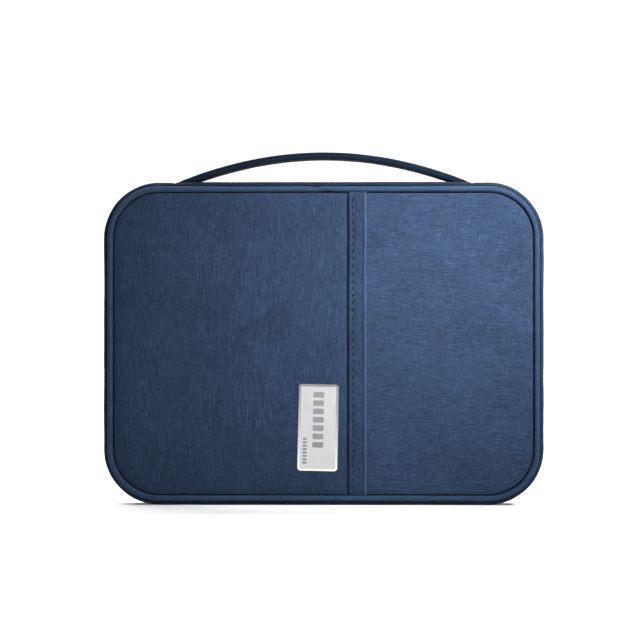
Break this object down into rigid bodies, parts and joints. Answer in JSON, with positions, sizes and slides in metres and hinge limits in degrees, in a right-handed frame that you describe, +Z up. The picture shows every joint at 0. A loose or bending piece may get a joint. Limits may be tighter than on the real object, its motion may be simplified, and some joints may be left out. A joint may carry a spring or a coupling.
{
  "type": "travel document organizer",
  "caption": "Padded fabric book case for travel papers with a zipped edge, piped covers, an outer slip pocket with a metal label, and a strap handle on the spine",
  "frame": {"origin": "on the surface the closed case stands on, in the middle of its length and depth", "axes": "+X along the spine towards the slider side, +Y from the front cover to the back cover, +Z up to the spine and handle"},
  "size_m": [0.26, 0.0293, 0.2083],
  "materials": {
    "outer_fabric": "matt woven melange",
    "piping_fabric": "matt woven",
    "lining_fabric": "smooth woven",
    "handle_webbing": "matt woven",
    "foam": "closed-cell foam",
    "board": "plain",
    "elastic": "ribbed",
    "zip_tape": "herringbone weave",
    "zip_coil": "satin nylon",
    "slider_metal": "satin",
    "clear_film": "clear gloss",
    "label_metal": "satin face, polished rim"
  },
  "bodies": {
    "back_half": {"back_panel": "outer_fabric", "back_foam": "foam", "back_lining": "lining_fabric", "back_piping": "piping_fabric", "back_gusset": "outer_fabric", "back_zip_tape": "zip_tape", "back_zip_coil": "zip_coil", "back_stop_left": "slider_metal", "back_stop_right": "slider_metal", "document_pocket": "lining_fabric", "narrow_pocket": "lining_fabric", "pen_loop": "elastic", "card_slot_1": "lining_fabric", "card_slot_2": "lining_fabric", "card_slot_3": "lining_fabric"},
    "spine": {"spine_panel": "outer_fabric", "spine_stiffener": "board", "spine_lining": "lining_fabric", "handle_end_left": "handle_webbing", "handle_end_right": "handle_webbing"},
    "handle": {"handle_strap": "handle_webbing"},
    "front_half": {"front_panel": "outer_fabric", "front_pocket_panel": "outer_fabric", "pocket_band": "outer_fabric", "front_foam": "foam", "front_lining": "lining_fabric", "front_piping": "piping_fabric", "front_gusset": "outer_fabric", "front_zip_tape": "zip_tape", "front_zip_coil": "zip_coil", "front_stop_left": "slider_metal", "front_stop_right": "slider_metal", "ticket_pocket": "lining_fabric", "passport_pocket": "lining_fabric", "window_pocket": "clear_film", "label_plate": "label_metal", "label_washer": "slider_metal"},
    "divider": {"divider_page": "lining_fabric", "divider_pocket_front": "lining_fabric", "divider_pocket_back": "lining_fabric"},
    "slider": {"zip_slider": "slider_metal"},
    "pull": {"zip_pull": "slider_metal"}
  },
  "joints": [
    {"name": "spine_fold", "type": "hinge", "parent": "back_half", "child": "spine", "pos_m": [0, 0.012, 0.1891], "axis": [-1, 0, 0], "range_deg": [0, 90]},
    {"name": "cover_fold", "type": "hinge", "parent": "spine", "child": "front_half", "pos_m": [0, -0.012, 0.1891], "axis": [-1, 0, 0], "range_deg": [0, 90]},
    {"name": "divider_turn", "type": "hinge", "parent": "spine", "child": "divider", "pos_m": [0, 0, 0.1869], "axis": [-1, 0, 0], "range_deg": [-45, 0]},
    {"name": "handle_lean", "type": "hinge", "parent": "spine", "child": "handle", "pos_m": [0, 0, 0.1905], "axis": [1, 0, 0], "range_deg": [-20, 20], "stiffness_Nm_per_rad": 0.05},
    {"name": "zip_slide", "type": "slide", "parent": "back_half", "child": "slider", "axis": [0, 0, -1], "range_m": [0, 0.103]},
    {"name": "pull_swing", "type": "hinge", "parent": "slider", "child": "pull", "pos_m": [0.12845, 0, 0.1463], "axis": [0, -1, 0], "range_deg": [0, 180]}
  ],
  "couplings": [
    {"joint": "cover_fold", "follows": "spine_fold", "ratio": 1},
    {"joint": "divider_turn", "follows": "spine_fold", "ratio": -0.5}
  ]
}
